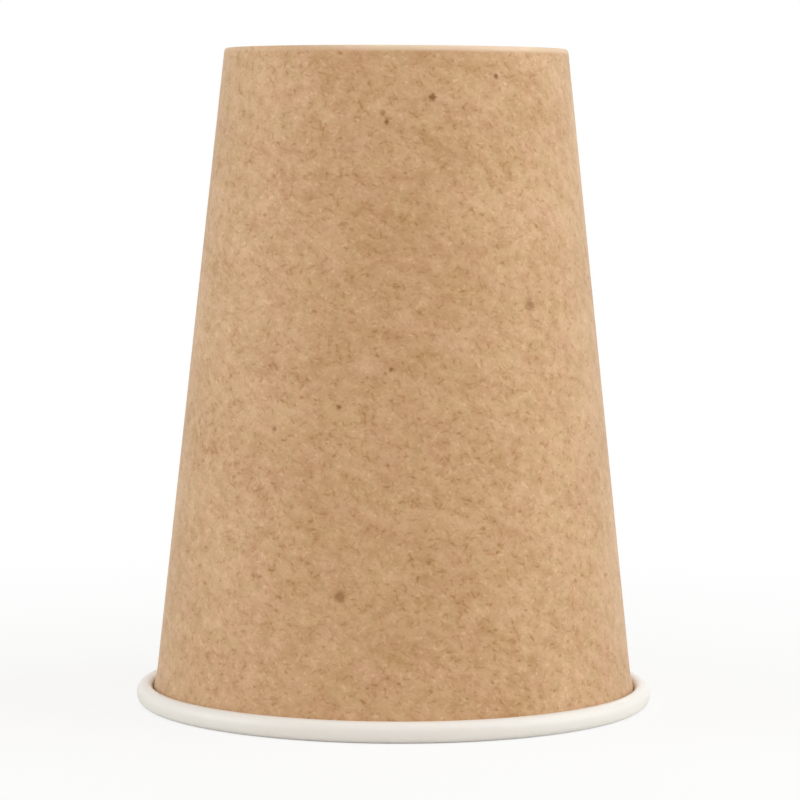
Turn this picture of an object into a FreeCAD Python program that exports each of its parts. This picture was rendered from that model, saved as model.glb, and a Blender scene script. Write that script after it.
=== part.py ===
import FreeCAD, Part

import math
import os

# A single-wall paper coffee cup, standing mouth down as it was photographed, in millimetres.
# Z is the cup's axis, the mouth plane is at Z 0 and the foot, where an upright cup stands, is at the top.
# The cup is two pieces of coated board: a side wall wrapped from one fan-shaped blank, and a drawn base disc.
# The wall's board runs in one strip: out of the roll at the mouth, up the cone, round the fold at the foot
# and back down as a hem that clamps the flange of the base disc against the wall.
# Along the strip, the brown face is on the right hand and the white face on the left.

# Overall sizes
rim_diameter = 90.0
foot_diameter = 59.5
cup_height = 114.0

# Thickness of the two boards
wall_board = 0.38
base_board = 0.32

# The rolled rim
roll_width = 3.3
roll_height = 3.6
tuck_gap = 0.12
tuck_angle = 65.0
throat_rise = 0.6

# The slight flare of the wall just above the roll
flare_angle = 19.0
flare_radius_at_roll = 4.5
flare_radius_at_wall = 7.0

# The foot: how far the base is recessed, and the fold and hem that hold it
skirt_depth = 8.5
hem_clearance = 1.1
foot_inner_radius = 0.22
hem_inner_radius = 0.03
flange_end_gap = 0.22
base_bend_radius = 0.5
seal_gap = 0.02

# The glued side seam, where the wrapped board lies over its own end
seam_azimuth = 118.0
lap_width = 7.0
settle_width = 3.0

AXIS = FreeCAD.Vector(0, 0, 1)
ORIGIN = FreeCAD.Vector(0, 0, 0)


class Strip:
    """The middle line of a board seen in section: radius and height, a heading and a list of runs and bends."""

    def __init__(self, radius, height, heading, board):
        self.radius = radius
        self.height = height
        self.heading = heading
        self.board = board
        self.pieces = []

    def right_hand(self, distance):
        """The point that far to the right of the strip's present end."""
        angle = math.radians(self.heading)
        return (
            self.radius + distance * math.sin(angle),
            self.height - distance * math.cos(angle),
        )

    def run(self, length):
        """A straight stretch."""
        angle = math.radians(self.heading)
        sides = {side: [self.side_point(side)] for side in (-1, 1)}
        self.radius += length * math.cos(angle)
        self.height += length * math.sin(angle)
        for side in sides:
            sides[side].append(self.side_point(side))
        self.pieces.append(sides)

    def bend(self, radius, turn):
        """A round bend of the middle line. A positive turn goes to the left."""
        hand = -1 if turn > 0 else 1
        centre = self.right_hand(hand * radius)
        sides = {side: [] for side in (-1, 1)}
        start = self.heading
        for share in (0.0, 0.5, 1.0):
            self.heading = start + turn * share
            angle = math.radians(self.heading)
            self.radius = centre[0] - hand * radius * math.sin(angle)
            self.height = centre[1] + hand * radius * math.cos(angle)
            for side in sides:
                sides[side].append(self.side_point(side))
        self.pieces.append(sides)

    def side_point(self, side):
        """The point on the board's right face (1) or left face (-1)."""
        radius, height = self.right_hand(side * self.board / 2)
        return FreeCAD.Vector(radius, 0, height)

    def section(self):
        """The closed outline of the board: up its right face, across its end, back down its left face."""
        right = [face_edge(piece[1]) for piece in self.pieces]
        left = [face_edge(piece[-1][::-1]) for piece in reversed(self.pieces)]
        first, last = self.pieces[0], self.pieces[-1]
        end = Part.LineSegment(last[1][-1], last[-1][-1]).toShape()
        start = Part.LineSegment(first[-1][0], first[1][0]).toShape()
        return Part.Wire(right + [end] + left + [start])


def face_edge(points):
    """A line through two points or an arc through three."""
    if len(points) == 2:
        return Part.LineSegment(*points).toShape()
    return Part.Arc(*points).toShape()


def tangent_of_half(degrees):
    """The length of a corner's tangent for a bend of radius 1."""
    return math.tan(math.radians(degrees) / 2)


def rolled_rim(layer):
    """The strip from the tucked-in end of the roll, over the roll, to the top of the flare above it.

    layer is how far the strip lies to the brown side of the wall's own middle line.
    """
    centre_radius = rim_diameter / 2 - roll_width / 2
    turn_radius = roll_width / 2 - wall_board / 2 - layer
    tuck_radius = turn_radius - wall_board - tuck_gap
    tuck_face = roll_width / 2 - wall_board - tuck_gap

    start = math.radians(180 + tuck_angle)
    strip = Strip(
        centre_radius + tuck_radius * math.cos(start),
        roll_width / 2 + tuck_radius * math.sin(start),
        90 + tuck_angle,
        wall_board,
    )
    strip.bend(tuck_radius, -tuck_angle)
    strip.run(roll_height - tuck_face - roll_width / 2)
    strip.bend(tuck_radius, -90)
    strip.bend(turn_radius, -90)
    strip.run(roll_height - roll_width)
    strip.bend(turn_radius, -180)
    strip.run(throat_rise)
    strip.bend(flare_radius_at_roll + layer, flare_angle)
    return strip


def wall_lean():
    """Degrees that the straight wall leans in towards the foot.

    Its brown face touches the upper flare and passes through the foot's corner.
    """
    strip = rolled_rim(0)
    centre = strip.right_hand(flare_radius_at_wall)
    along = foot_diameter / 2 - centre[0]
    up = cup_height - centre[1]
    face_radius = flare_radius_at_wall - wall_board / 2
    heading = math.degrees(math.atan2(up, along) - math.asin(face_radius / math.hypot(along, up)))
    return heading - 90


lean = wall_lean()
slope = math.tan(math.radians(lean))
lean_sine = math.sin(math.radians(lean))
lean_cosine = math.cos(math.radians(lean))
hem_spacing = wall_board + base_board + 2 * seal_gap
base_underside = cup_height - skirt_depth


def wall_section(layer):
    """The side wall's board in section, one strip from the roll to the end of the hem.

    The foot's corner is rounder than the hem's. An outer layer is pressed down to the inner one's height
    there, round wider corners.
    """
    strip = rolled_rim(layer)
    strip.bend(flare_radius_at_wall - layer, lean - flare_angle)
    foot_radius = foot_inner_radius + (wall_board + layer) / 2
    hem_radius = hem_inner_radius + (wall_board + layer) / 2
    fold_middle = cup_height - wall_board / 2
    foot_corner = foot_radius * tangent_of_half(90 - lean)
    hem_corner = hem_radius * tangent_of_half(90 + lean)
    strip.run((fold_middle - strip.height) / lean_cosine - foot_corner)
    strip.bend(foot_radius, 90 - lean)
    strip.run((hem_spacing + 2 * layer) / lean_cosine - foot_corner - hem_corner)
    strip.bend(hem_radius, 90 + lean)
    hem_end = base_underside + hem_clearance - layer * lean_sine
    strip.run((strip.height - hem_end) / lean_cosine)
    return strip.section()


def turned(section, azimuth):
    """The section, turned about the cup's axis to an azimuth."""
    copy = section.copy()
    copy.rotate(ORIGIN, AXIS, azimuth)
    return copy


def swept(section, azimuth, sweep):
    """The section carried round the axis through a sweep that starts at an azimuth."""
    return Part.Face(turned(section, azimuth)).revolve(ORIGIN, AXIS, sweep)


def side_wall():
    """The wrapped wall: a full turn of board, whose end lies over its start along the seam."""
    inner = wall_section(0)
    outer = wall_section(wall_board)
    wall_radius = rim_diameter / 2 - roll_width + wall_board
    lap = math.degrees(lap_width / wall_radius)
    settle = math.degrees(settle_width / wall_radius)
    lap_end = seam_azimuth + lap
    full_turn = swept(inner, lap_end + settle, 360 - settle)
    overlap = swept(outer, seam_azimuth, lap)
    settling = Part.makeLoft(
        [turned(outer, lap_end), turned(inner, lap_end + settle)], True, True
    )
    return full_turn.fuse([overlap, settling]).removeSplitter()


def base_disc():
    """The base: a flat disc whose edge is drawn round into a flange that follows the wall."""
    middle = base_underside - base_board / 2
    bend_radius = base_bend_radius + base_board / 2
    foot_face = foot_diameter / 2 + (cup_height - middle) * slope
    flange_line = foot_face - (wall_board + seal_gap + base_board / 2) / lean_cosine
    tangent = bend_radius * tangent_of_half(90 + lean)
    strip = Strip(0, middle, 0, base_board)
    strip.run(flange_line - tangent)
    strip.bend(bend_radius, 90 + lean)
    flange_end = cup_height - wall_board - flange_end_gap
    strip.run((flange_end - strip.height) / lean_cosine)
    return swept(strip.section(), 0, 360)


def one_solid(shape, name):
    """The shape's only solid, checked."""
    solids = shape.Solids
    if len(solids) != 1 or not solids[0].isValid():
        raise ValueError(f"{name} is {len(solids)} solids, or is not valid")
    return solids[0]


os.makedirs("parts", exist_ok=True)
for name, shape in {"side_wall": side_wall(), "base_disc": base_disc()}.items():
    solid = one_solid(shape, name)
    solid.exportStep(f"parts/{name}.step")
    print(name, round(solid.Volume, 1), "mm3", solid.BoundBox)
print("wall leans", round(lean, 3), "degrees")
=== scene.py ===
import math
from typing import NamedTuple

import bmesh
import bpy
from mathutils import Euler, Matrix, Vector


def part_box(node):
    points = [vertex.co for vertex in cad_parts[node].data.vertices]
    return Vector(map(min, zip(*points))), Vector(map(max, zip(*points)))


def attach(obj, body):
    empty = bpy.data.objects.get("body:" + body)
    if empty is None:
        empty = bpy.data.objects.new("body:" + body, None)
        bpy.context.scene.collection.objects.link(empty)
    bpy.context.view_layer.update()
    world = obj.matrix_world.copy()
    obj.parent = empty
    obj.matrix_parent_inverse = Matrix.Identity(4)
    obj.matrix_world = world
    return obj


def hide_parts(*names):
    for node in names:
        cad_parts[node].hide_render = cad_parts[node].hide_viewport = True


bl_info = {
    "name": "Paper Coffee Cup",
    "version": (1, 0, 0),
    "blender": (4, 5, 0),
    "location": "3D View > Sidebar > Paper Cup",
    "description": "Wraps a kraft paper cup, seats its base and lights it on a pale floor",
    "category": "Object",
}

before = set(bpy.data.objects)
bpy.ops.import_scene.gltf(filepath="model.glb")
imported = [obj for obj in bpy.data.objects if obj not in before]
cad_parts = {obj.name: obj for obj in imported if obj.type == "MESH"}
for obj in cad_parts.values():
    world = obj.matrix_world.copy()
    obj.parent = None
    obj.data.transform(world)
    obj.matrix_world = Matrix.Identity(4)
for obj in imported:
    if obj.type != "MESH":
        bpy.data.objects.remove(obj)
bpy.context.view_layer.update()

MILLIMETRE = 0.001
FULL_TURN = 2 * math.pi
AXIS = Vector((0, 0, 1))
ORIGIN = Vector((0, 0, 0))
WALL_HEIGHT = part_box("side_wall")[1].z

# Points closer than this are one point
TOUCHING = 0.001 * MILLIMETRE

# How far the board's edges are eased, as a share of its thickness
EASED_SHARE = 0.12

# One unit of the boards' maps stands for 100 mm
UV_PER_METRE = 10
MILLIMETRES_PER_UV = 100.0

# Which way the board was made, on the flat sheet, and how it stretches the clouds along and across
GRAIN_DIRECTION = math.radians(-45)
GRAIN_STRETCH = (1.22, 0.92, 1.0)

# How far round fibres are turned from each other at most, and how they wander: up to WANDER millimetres
# aside, and back again within about WANDER_GRAIN millimetres
STROKE_SPREAD = 0.84 * math.pi
WANDER = 0.9
WANDER_GRAIN = 2.6

# A fibre fades out beside its middle line within the first share of its width, and towards its ends
# between the other two shares of its length
STROKE_SIDE = 0.6
STROKE_ENDS = (0.3, 0.5)

# How brown the kraft is on the whole, from pale at 0 to deep at 1, and how much each pattern in it adds
BROWN = 0.44
BROAD_CLOUD_BROWN = 0.43
SMALL_CLOUD_BROWN = 0.35
FLOCK_BROWN = 1.18
TOOTH_BROWN = 0.42
KNOT_BROWN = 0.46

# Between which heights of the lumps a knot sets in
KNOT_RISE = (0.08, 0.26)

# How strongly the dark fibres show where the flock is even, and how much more where it is thick
DARK_FIBRES_SHOW = 0.85
DARK_FIBRES_IN_FLOCK = 2.0

# How far the patches go to each side before their lean to pink or to yellow is full
HUE_SWING = 0.14

# How deep the boards' fine relief goes, in millimetres
KRAFT_RELIEF = 0.03
KNURL_DEPTH = 0.08
COATING_WAVES = 0.05
COATING_GRAIN = 0.008
CUT_EDGE_RELIEF = 0.03

# How much the white face's shade varies with its waves and with its grain
COATING_MOTTLE = 0.03


class Fibres(NamedTuple):
    """A layer of fibres, each a short stroke, with its sizes in millimetres.

    start moves the layer's pattern, share is how many of its places hold a fibre, strength is how much
    a fibre colours the board, and curl is how much it bends.
    """

    start: tuple
    spacing: float
    length: float
    width: float
    share: float
    strength: float
    curl: float = 0.0


DARK_FIBRES = (
    Fibres(start=(0.0, 0.0), spacing=5.0, length=3.2, width=0.50, share=0.42, strength=0.20, curl=0.06),
    Fibres(start=(12.0, 21.0), spacing=2.4, length=1.6, width=0.52, share=0.60, strength=0.27),
    Fibres(start=(51.0, 6.0), spacing=1.6, length=0.9, width=0.50, share=0.50, strength=0.27),
)
PALE_FIBRES = (
    Fibres(start=(3.0, 9.0), spacing=2.3, length=1.1, width=0.46, share=0.45, strength=0.24),
    Fibres(start=(8.0, 44.0), spacing=1.6, length=0.8, width=0.40, share=0.40, strength=0.24),
)
STRAY_BARK = Fibres(start=(70.0, 35.0), spacing=8.0, length=0.8, width=0.60, share=0.16, strength=0.50)

# Where a pale highlight is painted along the fold: the places where it begins, is full, starts to fade and
# ends, in millimetres past the fold's start
PAINTED_HIGHLIGHT_BAND = (-0.7, 0.1, 0.8, 1.6)

# How pale the painted highlight is on each side, where the right side gives way to the left, and what the
# front right has besides, where the light falls most. Places round the cup are in turns from the sheet's
# inner edge
RIGHT_HIGHLIGHT = 0.62
LEFT_HIGHLIGHT = 0.22
RIGHT_TO_LEFT = (0.64, 0.72)
FRONT_RIGHT_HIGHLIGHT = 0.40
FRONT_RIGHT = (0.43, 0.50, 0.61, 0.67)

# Ridges in the hem, round the whole cup, and where they set in, in millimetres past the fold's start
KNURLS = 150
KNURLS_FROM = (1.6, 2.2)

# The side, back and top lamps are a little cooler than the front one, as in the photograph
COOL_LIGHT = (0.93, 1.00, 0.98)
WARM_LIGHT = (1.00, 0.86, 0.90)
ROOM_LIGHT = (1.00, 0.93, 0.85)
ROOM_STRENGTH = 0.29
WHITE = (1.0, 1.0, 1.0)

# Square soft lamps: their place and size in metres, their power in watts and their colour
SOFTBOXES = {
    "right_softbox": ((0.75, -0.12, 0.50), 1.0, 5.8, COOL_LIGHT),
    "left_softbox": ((-0.82, -0.14, 0.25), 0.8, 4.3, COOL_LIGHT),
    "front_softbox": ((0.05, -0.90, 0.80), 0.8, 2.4, WARM_LIGHT),
    "back_softbox": ((0.15, 0.90, 0.70), 0.8, 1.4, COOL_LIGHT),
    "top_softbox": ((0.0, -0.05, 1.00), 0.6, 1.5, COOL_LIGHT),
}

# The floor's half width, and between which distances from the cup's axis its shadow fades out, in metres.
# Where the shadow is full, so much of the floor still shows as plain white
FLOOR_REACH = 6.0
SHADOW_FADES = (0.05, 0.24)
NEAR_WHITE = 0.80

# The camera's place in metres, its lens and sensor in millimetres, and its dip and roll in radians
CAMERA_PLACE = (0.0009, -0.6043, 0.1000)
CAMERA_LENS = 156.1
SENSOR_WIDTH = 36.0
CAMERA_DIP = 0.0777
CAMERA_ROLL = 0.0044

# Flecks of bark on the front: azimuth in degrees, height and width in millimetres, and how dark
FLECKS = (
    (-56.7, 109.5, 0.95, 0.98),
    (-78.8, 105.9, 1.35, 0.95),
    (-92.7, 101.8, 0.95, 1.00),
    (-94.0, 103.3, 0.90, 0.60),
    (-49.1, 71.6, 2.20, 0.66),
    (-90.9, 61.3, 0.85, 0.85),
    (-104.7, 55.0, 1.05, 0.95),
    (-123.0, 51.0, 0.85, 0.65),
    (-26.7, 45.5, 0.80, 0.60),
    (-67.3, 35.0, 0.75, 0.50),
    (-81.3, 29.8, 0.80, 0.55),
    (-102.9, 24.1, 2.05, 0.68),
)

# A fleck fades from full to nothing between these shares of its width from its middle, and the third is
# how ragged its outline is
FLECK_FADES = (0.15, 0.70)
FLECK_RAGGEDNESS = 0.8


class CupSizes(bpy.types.PropertyGroup):
    """The cup's sizes. Z is its axis, and it stands mouth down on Z 0."""

    rim_diameter: bpy.props.FloatProperty(
        name="Rim Diameter", description="Across the outside of the rolled rim",
        default=0.090, subtype="DISTANCE", precision=4,
    )
    foot_diameter: bpy.props.FloatProperty(
        name="Foot Diameter", description="Across the wall's brown face, run on to the foot",
        default=0.0595, subtype="DISTANCE", precision=4,
    )
    cup_height: bpy.props.FloatProperty(
        name="Height", description="From the rim to the foot",
        default=WALL_HEIGHT, subtype="DISTANCE", precision=4,
    )
    wall_board: bpy.props.FloatProperty(
        name="Wall Board", description="Thickness of the side wall's board",
        default=0.00038, subtype="DISTANCE", precision=5,
    )
    base_board: bpy.props.FloatProperty(
        name="Base Board", description="Thickness of the base's board",
        default=0.00032, subtype="DISTANCE", precision=5,
    )
    roll_width: bpy.props.FloatProperty(
        name="Roll Width", description="Width of the rolled rim in section",
        default=0.0033, subtype="DISTANCE", precision=5,
    )
    roll_height: bpy.props.FloatProperty(
        name="Roll Height", description="Height of the rolled rim in section",
        default=0.0036, subtype="DISTANCE", precision=5,
    )
    tuck_gap: bpy.props.FloatProperty(
        name="Tuck Gap", description="Between the roll's turned-in end and the wall",
        default=0.00012, subtype="DISTANCE", precision=5,
    )
    tuck_angle: bpy.props.FloatProperty(
        name="Tuck Angle", description="How far the roll's end turns in after it has met the wall",
        default=math.radians(65), subtype="ANGLE",
    )
    throat_rise: bpy.props.FloatProperty(
        name="Throat Rise", description="The upright stretch of wall beside the roll",
        default=0.0006, subtype="DISTANCE", precision=5,
    )
    flare_angle: bpy.props.FloatProperty(
        name="Flare Angle", description="How far the wall leans in just above the roll",
        default=math.radians(19), subtype="ANGLE",
    )
    flare_radius_at_roll: bpy.props.FloatProperty(
        name="Flare Radius at Roll", description="Bend of the wall next to the roll",
        default=0.0045, subtype="DISTANCE", precision=4,
    )
    flare_radius_at_wall: bpy.props.FloatProperty(
        name="Flare Radius at Wall", description="Bend of the wall where the flare runs out",
        default=0.007, subtype="DISTANCE", precision=4,
    )
    skirt_depth: bpy.props.FloatProperty(
        name="Skirt Depth", description="How far the base is recessed from the foot",
        default=0.0085, subtype="DISTANCE", precision=4,
    )
    hem_clearance: bpy.props.FloatProperty(
        name="Hem Clearance", description="From the end of the hem to the base",
        default=0.0011, subtype="DISTANCE", precision=5,
    )
    foot_inner_radius: bpy.props.FloatProperty(
        name="Foot Radius", description="Inside radius of the bend from the wall into the fold",
        default=0.00022, subtype="DISTANCE", precision=5,
    )
    hem_inner_radius: bpy.props.FloatProperty(
        name="Hem Radius", description="Inside radius of the bend from the fold into the hem",
        default=0.00003, subtype="DISTANCE", precision=5,
    )
    flange_end_gap: bpy.props.FloatProperty(
        name="Flange End Gap", description="From the flange's edge to the fold above it",
        default=0.00022, subtype="DISTANCE", precision=5,
    )
    base_bend_radius: bpy.props.FloatProperty(
        name="Base Bend Radius", description="Inside radius of the bend from base to flange",
        default=0.0005, subtype="DISTANCE", precision=5,
    )
    seal_gap: bpy.props.FloatProperty(
        name="Seal Gap", description="Between the flange and the board on each side of it",
        default=0.00002, subtype="DISTANCE", precision=5,
    )
    seam_azimuth: bpy.props.FloatProperty(
        name="Seam Azimuth", description="Where the wall's outer edge lies, round the axis from X",
        default=math.radians(118), subtype="ANGLE",
    )
    lap_width: bpy.props.FloatProperty(
        name="Lap Width", description="How far the wall's ends lie over each other",
        default=0.007, subtype="DISTANCE", precision=4,
    )
    settle_width: bpy.props.FloatProperty(
        name="Settle Width", description="In how far the upper end comes down beside the lap",
        default=0.003, subtype="DISTANCE", precision=4,
    )
    facet_angle: bpy.props.FloatProperty(
        name="Facet Angle", description="Turn of one facet round the cup",
        default=math.radians(1.25), subtype="ANGLE",
    )


class CupColours(bpy.types.PropertyGroup):
    """The colours of the two boards, as linear values."""

    kraft_pale: bpy.props.FloatVectorProperty(
        name="Pale Kraft", description="The brown face where its bleached fibres lie thickest",
        default=(0.732, 0.473, 0.272), subtype="COLOR", min=0, max=1,
    )
    kraft_deep: bpy.props.FloatVectorProperty(
        name="Deep Kraft", description="The brown face where its brown fibres lie thickest",
        default=(0.407, 0.196, 0.054), subtype="COLOR", min=0, max=1,
    )
    rosy_tint: bpy.props.FloatVectorProperty(
        name="Rosy Tint", description="What colours the patches that lean to pink",
        default=(1.000, 0.970, 0.990), subtype="COLOR", min=0, max=1,
    )
    dun_tint: bpy.props.FloatVectorProperty(
        name="Dun Tint", description="What colours the patches that lean to yellow",
        default=(0.985, 1.000, 0.960), subtype="COLOR", min=0, max=1,
    )
    # A pale highlight painted along the fold at the foot
    painted_fold_highlight: bpy.props.FloatVectorProperty(
        name="Painted Fold Highlight", description="The brown face where a pale highlight is painted along the fold at the foot",
        default=(0.830, 0.620, 0.440), subtype="COLOR", min=0, max=1,
    )
    fleck: bpy.props.FloatVectorProperty(
        name="Fleck", description="Flecks of bark in the brown face",
        default=(0.220, 0.085, 0.001), subtype="COLOR", min=0, max=1,
    )
    white: bpy.props.FloatVectorProperty(
        name="White", description="The coated white face",
        default=(0.870, 0.835, 0.795), subtype="COLOR", min=0, max=1,
    )
    cut_edge: bpy.props.FloatVectorProperty(
        name="Cut Edge", description="The board's bare core where it is cut",
        default=(0.700, 0.560, 0.400), subtype="COLOR", min=0, max=1,
    )
    floor: bpy.props.FloatVectorProperty(
        name="Floor", description="The floor under the cup",
        default=(0.880, 0.880, 0.870), subtype="COLOR", min=0, max=1,
    )


# Shader graphs

class Number:
    """A number that varies over a surface. Arithmetic on it adds Math nodes to its graph."""

    def __init__(self, graph, socket):
        self.graph = graph
        self.socket = socket

    def __add__(self, other):
        return self.graph.math("ADD", self, other)

    def __sub__(self, other):
        return self.graph.math("SUBTRACT", self, other)

    def __rsub__(self, other):
        return self.graph.math("SUBTRACT", other, self)

    def __mul__(self, other):
        return self.graph.math("MULTIPLY", self, other)

    def __lt__(self, other):
        return self.graph.math("LESS_THAN", self, other)

    def __abs__(self):
        return self.graph.math("ABSOLUTE", self)

    __radd__ = __add__
    __rmul__ = __mul__


class Graph:
    """The node tree of one material or world, emptied and filled again."""

    def __init__(self, owner):
        owner.use_nodes = True
        self.owner = owner
        self.tree = owner.node_tree
        self.tree.nodes.clear()

    def add(self, kind, settings=None, inputs=None):
        """Adds a node, sets it up, then gives its sockets their values or links."""
        node = self.tree.nodes.new(kind)
        for name, value in (settings or {}).items():
            setattr(node, name, value)
        sockets = {socket.identifier: socket for socket in node.inputs}
        for name, value in (inputs or {}).items():
            socket = sockets.get(name) or node.inputs[name]
            value = getattr(value, "socket", value)
            if isinstance(value, bpy.types.NodeSocket):
                self.tree.links.new(value, socket)
            else:
                socket.default_value = value
        return node

    def number(self, node, output):
        """One of a node's outputs, ready for arithmetic."""
        return Number(self, node.outputs[output])

    def math(self, operation, first, second=0.0):
        """A Math node's result."""
        settings = {"operation": operation}
        node = self.add("ShaderNodeMath", settings, {"Value": first, "Value_001": second})
        return self.number(node, 0)

    def vector_math(self, operation, *values):
        """A Vector Math node, given its inputs in their order."""
        return self.add("ShaderNodeVectorMath", {"operation": operation}, dict(enumerate(values)))

    def vector(self, operation, *values):
        """The vector that a Vector Math node gives."""
        return self.vector_math(operation, *values).outputs["Vector"]

    def distance(self, first, second):
        """How far apart two places are."""
        return self.number(self.vector_math("DISTANCE", first, second), "Value")

    def parts(self, vector):
        """A vector's X and Y."""
        split = self.add("ShaderNodeSeparateXYZ", {}, {"Vector": vector})
        return self.number(split, "X"), self.number(split, "Y")

    def ease(self, value, low, high, start=0.0, end=1.0):
        """A soft step: start at or under low, end at or over high."""
        node = self.add(
            "ShaderNodeMapRange",
            {"interpolation_type": "SMOOTHSTEP"},
            {"Value": value, "From Min": low, "From Max": high, "To Min": start, "To Max": end},
        )
        return self.number(node, "Result")

    def band(self, value, begins, full, fades, ends):
        """A soft band: 1 from full to fades, and 0 before it begins and after it ends."""
        return self.ease(value, begins, full) * self.ease(value, fades, ends, 1.0, 0.0)

    def noise_node(self, place, grain, detail, roughness=0.5):
        """Cloudy noise in which a cloud is about grain wide, in the units of place."""
        return self.add(
            "ShaderNodeTexNoise",
            {"noise_dimensions": "3D"},
            {"Vector": place, "Scale": 1 / grain, "Detail": detail, "Roughness": roughness},
        )

    def noise(self, place, grain, detail, roughness=0.5):
        """The same noise as one number, from 0 to 1."""
        return self.number(self.noise_node(place, grain, detail, roughness), "Fac")

    def mix(self, factor, first, second, blend="MIX"):
        """One colour over another."""
        node = self.add(
            "ShaderNodeMix",
            {"data_type": "RGBA", "blend_type": blend},
            {"Factor_Float": factor, "A_Color": first, "B_Color": second},
        )
        return next(socket for socket in node.outputs if socket.identifier == "Result_Color")

    def bump(self, height, distance, under=None):
        """A normal bent by a height, which is given as a share of a real distance."""
        inputs = {"Height": height, "Distance": distance, "Strength": 1.0}
        if under:
            inputs["Normal"] = under
        return self.add("ShaderNodeBump", {}, inputs).outputs["Normal"]

    def mix_shaders(self, factor, first, second):
        """One shader over another."""
        shaders = {"Fac": factor, 1: first.outputs[0], 2: second.outputs[0]}
        return self.add("ShaderNodeMixShader", {}, shaders)

    def finish(self, output, shader):
        """Ends the graph in an output node, and gives back the material or world."""
        self.add(output, {}, {"Surface": shader.outputs[0]})
        return self.owner

    def surface(self, inputs):
        """Ends the graph in a Principled surface."""
        shader = self.add("ShaderNodeBsdfPrincipled", {}, inputs)
        return self.finish("ShaderNodeOutputMaterial", shader)


def opaque(colour):
    """A colour as a node's socket takes it."""
    return (*colour, 1.0)


# Materials

def sheet_place(graph):
    """Where a point lies on the flat sheet that the board was cut from, in millimetres."""
    sheet = graph.add("ShaderNodeUVMap", {"uv_map": "sheet"}).outputs["UV"]
    return graph.vector("MULTIPLY", sheet, (MILLIMETRES_PER_UV,) * 3)


def strip_place(graph):
    """How far round the cup a point lies, in turns, and how far past the fold's start, in millimetres."""
    strip = graph.add("ShaderNodeUVMap", {"uv_map": "strip"}).outputs["UV"]
    turn, past_fold = graph.parts(strip)
    return turn, past_fold * MILLIMETRES_PER_UV


def shifted(graph, place, start):
    """The place moved across the sheet, so that patterns drawn there don't repeat each other."""
    return graph.vector("ADD", place, (*start, 0.0))


def grained_place(graph, place):
    """The place on a sheet that was made in one direction, so that clouds are a little longer that way."""
    return graph.add(
        "ShaderNodeMapping",
        {"vector_type": "TEXTURE"},
        {"Vector": place, "Rotation": (0.0, 0.0, GRAIN_DIRECTION), "Scale": GRAIN_STRETCH},
    ).outputs["Vector"]


def wandering_place(graph, place):
    """The place pushed about by a fine noise, so that strokes drawn there wander as fibres do."""
    push = graph.noise_node(place, WANDER_GRAIN, detail=2.0).outputs["Color"]
    return graph.vector("MULTIPLY_ADD", push, (WANDER, WANDER, 0.0), place)


def clouds(graph, place, start, grain, detail=1.0, roughness=0.5):
    """Cloudy noise that goes below 0 as far as above it."""
    return graph.noise(shifted(graph, place, start), grain, detail, roughness) - 0.5


def fibre_strokes(graph, place, layer):
    """Short strokes, at most one to a cell and each turned its own way: how much they colour the board."""
    place = shifted(graph, place, layer.start)
    cells = graph.add(
        "ShaderNodeTexVoronoi",
        {"voronoi_dimensions": "2D"},
        {"Vector": place, "Scale": 1 / layer.spacing},
    )
    chance = graph.add("ShaderNodeSeparateColor", {}, {"Color": cells.outputs["Color"]})
    angle, lot, bend = (graph.number(chance, name) for name in ("Red", "Green", "Blue"))
    from_middle = graph.vector("SUBTRACT", place, cells.outputs["Position"])
    turned = graph.add(
        "ShaderNodeVectorRotate",
        {"rotation_type": "Z_AXIS"},
        {"Vector": from_middle, "Angle": (angle - 0.5) * STROKE_SPREAD - GRAIN_DIRECTION},
    )
    along, across = graph.parts(turned.outputs["Vector"])
    if layer.curl:
        across = across + along * along * (bend - 0.5) * (2 * layer.curl)
    fades, ends = (layer.length * share for share in STROKE_ENDS)
    beside = graph.ease(abs(across), 0.0, layer.width * STROKE_SIDE, 1.0, 0.0)
    within = graph.ease(abs(along), fades, ends, 1.0, 0.0)
    return beside * within * (lot < layer.share) * layer.strength


def fibre_layers(graph, place, layers):
    """Several layers of strokes, one over another."""
    strokes = [fibre_strokes(graph, place, layer) for layer in layers]
    return sum(strokes[1:], strokes[0])


def painted_fold_highlight(graph, turn, past_fold, flock):
    """A painted highlight along the fold at the foot, palest on the front right where the light falls most.
    """
    on_fold = graph.band(past_fold, *PAINTED_HIGHLIGHT_BAND)
    side_highlight = graph.ease(turn, *RIGHT_TO_LEFT, RIGHT_HIGHLIGHT, LEFT_HIGHLIGHT)
    most_side_highlight = graph.band(turn, *FRONT_RIGHT) * FRONT_RIGHT_HIGHLIGHT
    return on_fold * (side_highlight + most_side_highlight + flock)


def knurled(graph, turn, past_fold):
    """Fine upright ridges that the sealing wheel presses into the hem, as a height."""
    ridges = graph.math("SINE", turn * (KNURLS * FULL_TURN)) * 0.5 + 0.5
    return ridges * graph.ease(past_fold, *KNURLS_FROM)


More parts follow.
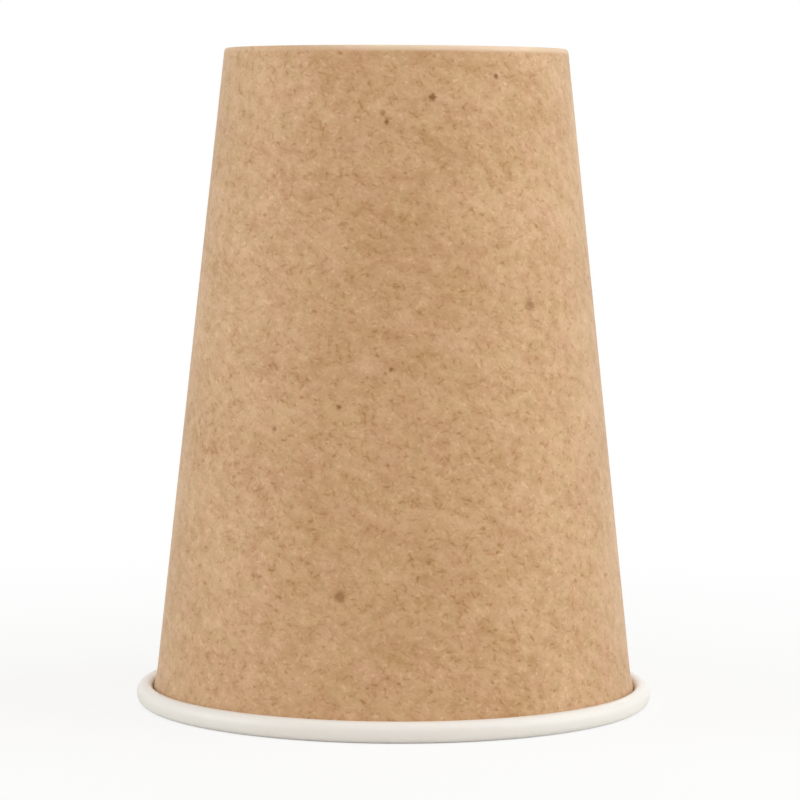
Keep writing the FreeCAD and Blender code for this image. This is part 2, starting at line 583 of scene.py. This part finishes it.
def kraft_face(colours, flecks):
    """Unbleached kraft: mottled brown with dark and pale fibres and a few flecks of bark."""
    graph = Graph(bpy.data.materials.new("kraft_face"))
    place = sheet_place(graph)
    grained = grained_place(graph, place)
    wandering = wandering_place(graph, place)
    turn, past_fold = strip_place(graph)

    # How thickly brown fibre lies, from broad clouds down to the tooth of the sheet
    broad_clouds = clouds(graph, grained, start=(0.0, 0.0), grain=16.0)
    small_clouds = clouds(graph, grained, start=(40.0, 15.0), grain=6.0)
    flock = clouds(graph, grained, start=(9.0, 60.0), grain=2.2, detail=4.0, roughness=0.62)
    tooth = clouds(graph, grained, start=(23.0, 2.0), grain=0.45)
    lumps = clouds(graph, grained, start=(70.0, 31.0), grain=1.3, detail=3.0, roughness=0.6)
    knots = graph.ease(lumps, *KNOT_RISE)
    density = (
        BROWN
        + (broad_clouds * BROAD_CLOUD_BROWN + small_clouds * SMALL_CLOUD_BROWN)
        + flock * FLOCK_BROWN + tooth * TOOTH_BROWN + knots * KNOT_BROWN
    )

    # Single fibres over it. The dark ones show most where the flock is thick
    dark_fibres = fibre_layers(graph, wandering, DARK_FIBRES)
    dark_fibres = dark_fibres * (DARK_FIBRES_SHOW + flock * DARK_FIBRES_IN_FLOCK)
    density = density + dark_fibres - fibre_layers(graph, wandering, PALE_FIBRES)
    colour = graph.mix(density, opaque(colours.kraft_pale), opaque(colours.kraft_deep))

    # A pale highlight painted along the fold at the foot, palest on the front right where the light falls
    # most
    fold_highlight_share = painted_fold_highlight(graph, turn, past_fold, flock)
    colour = graph.mix(fold_highlight_share, colour, opaque(colours.painted_fold_highlight))

    # Patches that lean to pink and patches that lean to yellow
    patches = clouds(graph, grained, start=(31.0, 77.0), grain=5.0, detail=2.0)
    hue = graph.ease(patches, -HUE_SWING, HUE_SWING)
    tint = graph.mix(hue, opaque(colours.rosy_tint), opaque(colours.dun_tint))
    colour = graph.mix(1.0, colour, tint, "MULTIPLY")

    # Bark: the chosen flecks, each with a ragged outline, and small ones strewn between them
    ragged = tooth + flock
    for x, y, width, strength in flecks:
        away = graph.distance(place, (x, y, 0.0)) + ragged * (FLECK_RAGGEDNESS * width)
        full, gone = (width * share for share in FLECK_FADES)
        fleck = graph.ease(away, full, gone, strength, 0.0)
        colour = graph.mix(fleck, colour, opaque(colours.fleck))
    strewn = fibre_strokes(graph, wandering, STRAY_BARK)
    colour = graph.mix(strewn, colour, opaque(colours.fleck))

    relief = graph.bump(flock * 0.5 + tooth * 0.4 - density * 0.3, KRAFT_RELIEF * MILLIMETRE)
    knurls = knurled(graph, turn, past_fold)
    return graph.surface({
        "Base Color": colour,
        "Roughness": 0.56 + density * 0.10,
        "Normal": graph.bump(knurls, KNURL_DEPTH * MILLIMETRE, under=relief),
        "Sheen Weight": 0.22,
        "Sheen Roughness": 0.5,
    })


def white_face(colours):
    """The coated white face: a satin skin over board that is not quite flat."""
    graph = Graph(bpy.data.materials.new("white_face"))
    place = sheet_place(graph)
    waves = graph.noise(place, grain=7.0, detail=1.0)
    grain = graph.noise(place, grain=0.9, detail=3.0)
    shade = 1.0 + (waves - 0.5) * COATING_MOTTLE + (grain - 0.5) * COATING_MOTTLE
    relief = graph.bump(waves, COATING_WAVES * MILLIMETRE)
    return graph.surface({
        "Base Color": graph.mix(1.0, opaque(colours.white), shade, "MULTIPLY"),
        "Roughness": 0.30 + grain * 0.10,
        "Normal": graph.bump(grain, COATING_GRAIN * MILLIMETRE, under=relief),
        "Specular IOR Level": 0.4,
    })


def cut_edge(colours):
    """The board's cut edge: bare core, rough and a little uneven in colour."""
    graph = Graph(bpy.data.materials.new("cut_edge"))
    grain = graph.noise(sheet_place(graph), grain=0.3, detail=2.0)
    return graph.surface({
        "Base Color": graph.mix(1.0, opaque(colours.cut_edge), 0.85 + grain * 0.3, "MULTIPLY"),
        "Roughness": 0.9,
        "Normal": graph.bump(grain, CUT_EDGE_RELIEF * MILLIMETRE),
    })


# Board

class Strip:
    """The middle line of a board in section, drawn by a point that runs and bends in the XZ plane."""

    def __init__(self, radius, height, heading):
        self.mesh = bmesh.new()
        self.way = self.mesh.verts.layers.float.new("way")
        self.tip = self.mesh.verts.new((radius, 0, height))
        self.heading = heading
        self.length = 0.0

    def right_hand(self, distance):
        """The point that far to the right of the strip's present end."""
        side = Vector((math.sin(self.heading), 0, -math.cos(self.heading)))
        return self.tip.co + side * distance

    def run(self, length, pieces=1):
        """A straight stretch."""
        step = Vector((math.cos(self.heading), 0, math.sin(self.heading))) * (length / pieces)
        for _ in range(pieces):
            made = bmesh.ops.extrude_vert_indiv(self.mesh, verts=[self.tip])["verts"]
            bmesh.ops.translate(self.mesh, verts=made, vec=step)
            self.reached(made[0], length / pieces)

    def bend(self, radius, turn, pieces):
        """A round bend. A positive turn goes to the left."""
        centre = self.right_hand(-radius if turn > 0 else radius)
        for _ in range(pieces):
            made = bmesh.ops.spin(
                self.mesh, geom=[self.tip], cent=centre, axis=(0, -1, 0),
                angle=turn / pieces, steps=1, use_duplicate=False,
            )["geom_last"]
            self.heading += turn / pieces
            self.reached(made[0], abs(turn) * radius / pieces)

    def reached(self, vertex, length):
        """Moves the strip's end on, and marks how far along the board it is."""
        self.tip = vertex
        self.length += length
        vertex[self.way] = self.length


def tangent_of_half(angle):
    """The length of a corner's tangent for a bend of radius 1."""
    return math.tan(angle / 2)


def rolled_rim(sizes):
    """The strip from the tucked-in end of the roll, over the roll, to the top of the flare."""
    half = sizes.roll_width / 2
    turn_radius = half - sizes.wall_board / 2
    tuck_radius = turn_radius - sizes.wall_board - sizes.tuck_gap
    tuck_face = half - sizes.wall_board - sizes.tuck_gap
    start = math.pi + sizes.tuck_angle
    strip = Strip(
        sizes.rim_diameter / 2 - half + tuck_radius * math.cos(start),
        half + tuck_radius * math.sin(start),
        math.pi / 2 + sizes.tuck_angle,
    )
    strip.bend(tuck_radius, -sizes.tuck_angle, pieces=5)
    strip.run(sizes.roll_height - tuck_face - half)
    strip.bend(tuck_radius, -math.pi / 2, pieces=8)
    strip.bend(turn_radius, -math.pi / 2, pieces=10)
    strip.run(sizes.roll_height - sizes.roll_width)
    strip.bend(turn_radius, -math.pi, pieces=20)
    strip.run(sizes.throat_rise)
    strip.bend(sizes.flare_radius_at_roll, sizes.flare_angle, pieces=5)
    return strip


def wall_lean(sizes):
    """How far the straight wall leans in towards the foot.

    Its brown face touches the upper flare and passes through the foot's corner.
    """
    strip = rolled_rim(sizes)
    centre = strip.right_hand(sizes.flare_radius_at_wall)
    strip.mesh.free()
    along = sizes.foot_diameter / 2 - centre.x
    up = sizes.cup_height - centre.z
    face_radius = sizes.flare_radius_at_wall - sizes.wall_board / 2
    return math.atan2(up, along) - math.asin(face_radius / math.hypot(along, up)) - math.pi / 2


def wall_strip(sizes, lean):
    """The wall's middle line, from the roll's end to the hem's end, and how far along it the fold starts."""
    strip = rolled_rim(sizes)
    strip.bend(sizes.flare_radius_at_wall, lean - sizes.flare_angle, pieces=5)
    foot_radius = sizes.foot_inner_radius + sizes.wall_board / 2
    hem_radius = sizes.hem_inner_radius + sizes.wall_board / 2
    fold_middle = sizes.cup_height - sizes.wall_board / 2
    foot_corner = foot_radius * tangent_of_half(math.pi / 2 - lean)
    hem_corner = hem_radius * tangent_of_half(math.pi / 2 + lean)
    hem_spacing = sizes.wall_board + sizes.base_board + 2 * sizes.seal_gap
    hem_end = sizes.cup_height - sizes.skirt_depth + sizes.hem_clearance
    strip.run((fold_middle - strip.tip.co.z) / math.cos(lean) - foot_corner, pieces=24)
    fold_start = strip.length
    strip.bend(foot_radius, math.pi / 2 - lean, pieces=8)
    strip.run(hem_spacing / math.cos(lean) - foot_corner - hem_corner)
    strip.bend(hem_radius, math.pi / 2 + lean, pieces=6)
    strip.run((strip.tip.co.z - hem_end) / math.cos(lean), pieces=4)
    return strip, fold_start


def base_strip(sizes, lean):
    """The base's middle line, from its centre to the edge of its flange."""
    middle = sizes.cup_height - sizes.skirt_depth - sizes.base_board / 2
    bend_radius = sizes.base_bend_radius + sizes.base_board / 2
    tangent = bend_radius * tangent_of_half(math.pi / 2 + lean)
    foot_face = sizes.foot_diameter / 2 + (sizes.cup_height - middle) * math.tan(lean)
    beside = sizes.wall_board + sizes.seal_gap + sizes.base_board / 2
    flange_end = sizes.cup_height - sizes.wall_board - sizes.flange_end_gap
    strip = Strip(0, middle, 0)
    strip.run(foot_face - beside / math.cos(lean) - tangent, pieces=10)
    strip.bend(bend_radius, math.pi / 2 + lean, pieces=8)
    strip.run((flange_end - strip.tip.co.z) / math.cos(lean), pieces=3)
    return strip


def wrap(mesh, start, sweep, columns):
    """Carries the section clockwise round the axis from start, and turns its faces outwards."""
    section = mesh.verts[:] + mesh.edges[:]
    bmesh.ops.rotate(mesh, verts=mesh.verts, cent=ORIGIN, matrix=Matrix.Rotation(start, 3, "Z"))
    bmesh.ops.spin(mesh, geom=section, cent=ORIGIN, axis=AXIS, angle=-sweep, steps=columns)
    mesh.verts.index_update()
    mesh.normal_update()
    if sum(face.normal.dot(face.calc_center_median()) for face in mesh.faces) < 0:
        bmesh.ops.reverse_faces(mesh, faces=mesh.faces)
        mesh.normal_update()


def soft_step(value, low, high):
    """0 at or under low, 1 at or over high, and a smooth rise between them."""
    share = min(max((value - low) / (high - low), 0.0), 1.0)
    return share * share * (3 - 2 * share)


def lift_lap(mesh, turns, sizes, settle):
    """Lays the end of the sheet one board further out, and presses it down to the foot's height."""
    press_from = sizes.cup_height - sizes.skirt_depth / 2
    press_to = sizes.cup_height - 2 * sizes.wall_board
    for vertex in mesh.verts:
        rise = sizes.wall_board * soft_step(turns[vertex.index], FULL_TURN - settle, FULL_TURN)
        if rise:
            pressed = soft_step(vertex.co.z, press_from, press_to)
            vertex.co += vertex.normal * rise
            vertex.co.z -= rise * pressed


def fan_place(ring, turn, lean):
    """Where a point lies on the fan-shaped blank, by its distance from the fan's centre and its turn."""
    fan = turn * math.sin(lean)
    return Vector((ring * math.sin(fan), ring * math.cos(fan)))


def map_fan(mesh, way, turns, foot_ring, fold_start, lean):
    """Maps the wall to its flat blank: a fan whose rings lie as far apart as they do along the strip."""
    sheet = mesh.loops.layers.uv.new("sheet")
    strip = mesh.loops.layers.uv.new("strip")
    for face in mesh.faces:
        for loop in face.loops:
            turn = turns[loop.vert.index]
            past_fold = loop.vert[way] - fold_start
            loop[sheet].uv = fan_place(foot_ring - past_fold, turn, lean) * UV_PER_METRE
            loop[strip].uv = (turn / FULL_TURN, past_fold * UV_PER_METRE)


def map_disc(mesh, way):
    """Maps the base to its flat blank: a round disc, with the flange laid out round it."""
    sheet = mesh.loops.layers.uv.new("sheet")
    for face in mesh.faces:
        for loop in face.loops:
            outwards = Vector((loop.vert.co.x, loop.vert.co.y)).normalized()
            loop[sheet].uv = outwards * loop.vert[way] * UV_PER_METRE


def flecks_on_fan(sizes, lap_end, foot_ring, lean):
    """Where each chosen fleck lies on the flat blank, in millimetres, with its width and its strength."""
    flecks = []
    for azimuth, height, width, strength in FLECKS:
        turn = (lap_end - math.radians(azimuth)) % FULL_TURN
        ring = foot_ring + (sizes.cup_height - height * MILLIMETRE) / math.cos(lean)
        place = fan_place(ring, turn, lean) / MILLIMETRE
        flecks.append((place.x, place.y, width, strength))
    return flecks


# Pieces

def scene_object(name, data):
    """A new object in the scene."""
    new_object = bpy.data.objects.new(name, data)
    bpy.context.scene.collection.objects.link(new_object)
    return new_object


def mesh_object(name, mesh, materials):
    """A finished bmesh as a new object."""
    data = bpy.data.meshes.new(name)
    mesh.to_mesh(data)
    mesh.free()
    for material in materials:
        data.materials.append(material)
    return scene_object(name, data)


def board_piece(name, mesh, materials, board):
    """A sheet along the board's middle, given its thickness and eased edges.

    The materials are those of its outer face, its inner face and its cut edge.
    """
    piece = mesh_object(name, mesh, materials)
    polygons = piece.data.polygons
    polygons.foreach_set("use_smooth", [True] * len(polygons))
    thickness = piece.modifiers.new("board", "SOLIDIFY")
    thickness.thickness = board
    thickness.offset = 0.0
    thickness.use_even_offset = True
    thickness.use_quality_normals = True
    thickness.material_offset = 1
    thickness.material_offset_rim = 2
    edges = piece.modifiers.new("eased_edges", "BEVEL")
    edges.width = EASED_SHARE * board
    edges.segments = 2
    edges.limit_method = "ANGLE"
    edges.angle_limit = math.radians(60)
    edges.harden_normals = True
    return piece


class OBJECT_OT_cup_side_wall(bpy.types.Operator):
    """Wraps the side wall: rolled rim, cone, lapped seam, and the fold and hem at the foot"""

    bl_idname = "object.cup_side_wall"
    bl_label = "Side Wall"
    bl_options = {"REGISTER", "UNDO"}

    def execute(self, context):
        sizes, colours = context.scene.cup_sizes, context.scene.cup_colours
        lean = wall_lean(sizes)
        strip, fold_start = wall_strip(sizes, lean)
        mesh = strip.mesh
        wall_radius = sizes.rim_diameter / 2 - sizes.roll_width + sizes.wall_board
        lap = sizes.lap_width / wall_radius
        settle = sizes.settle_width / wall_radius
        foot_ring = sizes.foot_diameter / 2 / math.sin(lean)

        # The sheet starts at its inner edge, goes once round, and comes to lie over its own start
        lap_end = sizes.seam_azimuth + lap
        sweep = FULL_TURN + lap
        columns = round(sweep / sizes.facet_angle)
        rows = len(mesh.verts)
        wrap(mesh, lap_end, sweep, columns)
        turns = [sweep * (index // rows) / columns for index in range(len(mesh.verts))]
        map_fan(mesh, strip.way, turns, foot_ring, fold_start, lean)
        lift_lap(mesh, turns, sizes, settle)

        kraft = kraft_face(colours, flecks_on_fan(sizes, lap_end, foot_ring, lean))
        materials = [kraft, white_face(colours), cut_edge(colours)]
        piece = board_piece("cup_wall", mesh, materials, sizes.wall_board)
        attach(piece, "root")
        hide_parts("side_wall")
        return {"FINISHED"}


class OBJECT_OT_cup_base_disc(bpy.types.Operator):
    """Draws the base: a flat disc whose edge turns up into a flange inside the wall"""

    bl_idname = "object.cup_base_disc"
    bl_label = "Base Disc"
    bl_options = {"REGISTER", "UNDO"}

    def execute(self, context):
        sizes, colours = context.scene.cup_sizes, context.scene.cup_colours
        strip = base_strip(sizes, wall_lean(sizes))
        mesh = strip.mesh
        section = mesh.verts[:] + mesh.edges[:]
        steps = round(FULL_TURN / sizes.facet_angle)
        bmesh.ops.spin(
            mesh, geom=section, cent=ORIGIN, axis=AXIS, angle=FULL_TURN, steps=steps, use_merge=True
        )
        bmesh.ops.remove_doubles(mesh, verts=mesh.verts, dist=TOUCHING)
        bmesh.ops.dissolve_degenerate(mesh, edges=mesh.edges, dist=TOUCHING)
        bmesh.ops.recalc_face_normals(mesh, faces=mesh.faces)
        map_disc(mesh, strip.way)

        white = white_face(colours)
        piece = board_piece("cup_base", mesh, [white, white, cut_edge(colours)], sizes.base_board)
        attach(piece, "root")
        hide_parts("base_disc")
        return {"FINISHED"}


class SCENE_OT_cup_stage(bpy.types.Operator):
    """Sets the pale floor, the soft studio light and the camera"""

    bl_idname = "scene.cup_stage"
    bl_label = "Stage"
    bl_options = {"REGISTER", "UNDO"}

    def execute(self, context):
        scene = context.scene
        scene.view_settings.view_transform = "Standard"
        self.floor(scene)
        self.world(scene)
        for name, settings in SOFTBOXES.items():
            self.lamp(scene, name, *settings)
        self.camera(scene)
        return {"FINISHED"}

    def floor(self, scene):
        """A wide flat floor at the mouth's level."""
        mesh = bmesh.new()
        bmesh.ops.create_grid(mesh, x_segments=1, y_segments=1, size=FLOOR_REACH)
        floor = mesh_object("floor", mesh, [self.floor_paper(scene.cup_colours)])

    def floor_paper(self, colours):
        """Paper that lights the cup as pale grey, and that the camera sees white but for a soft shadow."""
        graph = Graph(bpy.data.materials.new("floor"))
        place = graph.add("ShaderNodeTexCoord").outputs["Object"]
        bare = graph.ease(graph.distance(place, ORIGIN), *SHADOW_FADES, NEAR_WHITE, 1.0)
        seen = graph.number(graph.add("ShaderNodeLightPath"), "Is Camera Ray")
        paper = graph.add("ShaderNodeBsdfDiffuse", {}, {"Color": opaque(colours.floor)})
        white = graph.add("ShaderNodeEmission", {}, {"Color": opaque(WHITE), "Strength": 1.0})
        return graph.finish("ShaderNodeOutputMaterial", graph.mix_shaders(bare * seen, paper, white))

    def world(self, scene):
        """White behind the cup and in its sheen, and a dimmer, warmer white as light."""
        scene.world = bpy.data.worlds.new("studio")
        graph = Graph(scene.world)
        path = graph.add("ShaderNodeLightPath")
        seen, mirrored, passed = (
            graph.number(path, f"Is {kind} Ray") for kind in ("Camera", "Glossy", "Transmission")
        )
        room = {"Color": opaque(ROOM_LIGHT), "Strength": ROOM_STRENGTH}
        light = graph.add("ShaderNodeBackground", {}, room)
        white = graph.add("ShaderNodeBackground", {}, {"Color": opaque(WHITE)})
        both = graph.mix_shaders(seen + graph.math("MAXIMUM", mirrored, passed), light, white)
        graph.finish("ShaderNodeOutputWorld", both)

    def lamp(self, scene, name, place, size, power, colour):
        """A square soft lamp, turned to the middle of the cup."""
        light = bpy.data.lights.new(name, "AREA")
        light.shape = "SQUARE"
        light.size = size
        light.energy = power
        light.color = colour
        lamp = scene_object(name, light)
        lamp.location = place
        towards_cup = Vector((0, 0, scene.cup_sizes.cup_height / 2)) - Vector(place)
        lamp.rotation_euler = towards_cup.to_track_quat("-Z", "Y").to_euler()

    def camera(self, scene):
        """A long lens, a little below the foot's level and looking a little down."""
        lens = bpy.data.cameras.new("camera")
        lens.sensor_fit = "HORIZONTAL"
        lens.sensor_width = SENSOR_WIDTH
        lens.lens = CAMERA_LENS
        lens.clip_start = 0.01
        camera = scene_object("camera", lens)
        camera.location = CAMERA_PLACE
        camera.rotation_euler = Euler((math.pi / 2 - CAMERA_DIP, 0.0, 0.0))
        camera.rotation_euler.rotate_axis("Z", CAMERA_ROLL)
        scene.camera = camera


class VIEW3D_PT_paper_cup(bpy.types.Panel):
    """The cup's sizes and colours, and a button for each piece"""

    bl_label = "Paper Cup"
    bl_idname = "VIEW3D_PT_paper_cup"
    bl_space_type = "VIEW_3D"
    bl_region_type = "UI"
    bl_category = "Paper Cup"

    def draw(self, context):
        layout = self.layout
        layout.use_property_split = True
        sizes, colours = context.scene.cup_sizes, context.scene.cup_colours
        for title, group in (("Sizes", sizes), ("Colours", colours)):
            box = layout.box()
            box.label(text=title)
            for name in group.bl_rna.properties.keys():
                if name not in {"rna_type", "name"}:
                    box.prop(group, name)
        for operator in (OBJECT_OT_cup_side_wall, OBJECT_OT_cup_base_disc, SCENE_OT_cup_stage):
            layout.operator(operator.bl_idname)


CLASSES = (
    CupSizes,
    CupColours,
    OBJECT_OT_cup_side_wall,
    OBJECT_OT_cup_base_disc,
    SCENE_OT_cup_stage,
    VIEW3D_PT_paper_cup,
)


def register():
    for item in CLASSES:
        bpy.utils.register_class(item)
    bpy.types.Scene.cup_sizes = bpy.props.PointerProperty(type=CupSizes)
    bpy.types.Scene.cup_colours = bpy.props.PointerProperty(type=CupColours)


def unregister():
    del bpy.types.Scene.cup_colours
    del bpy.types.Scene.cup_sizes
    for item in reversed(CLASSES):
        bpy.utils.unregister_class(item)


def main():
    """Makes the cup and its stage."""
    register()
    bpy.ops.object.cup_side_wall()
    bpy.ops.object.cup_base_disc()
    bpy.ops.scene.cup_stage()


if __name__ == "__main__":
    main()
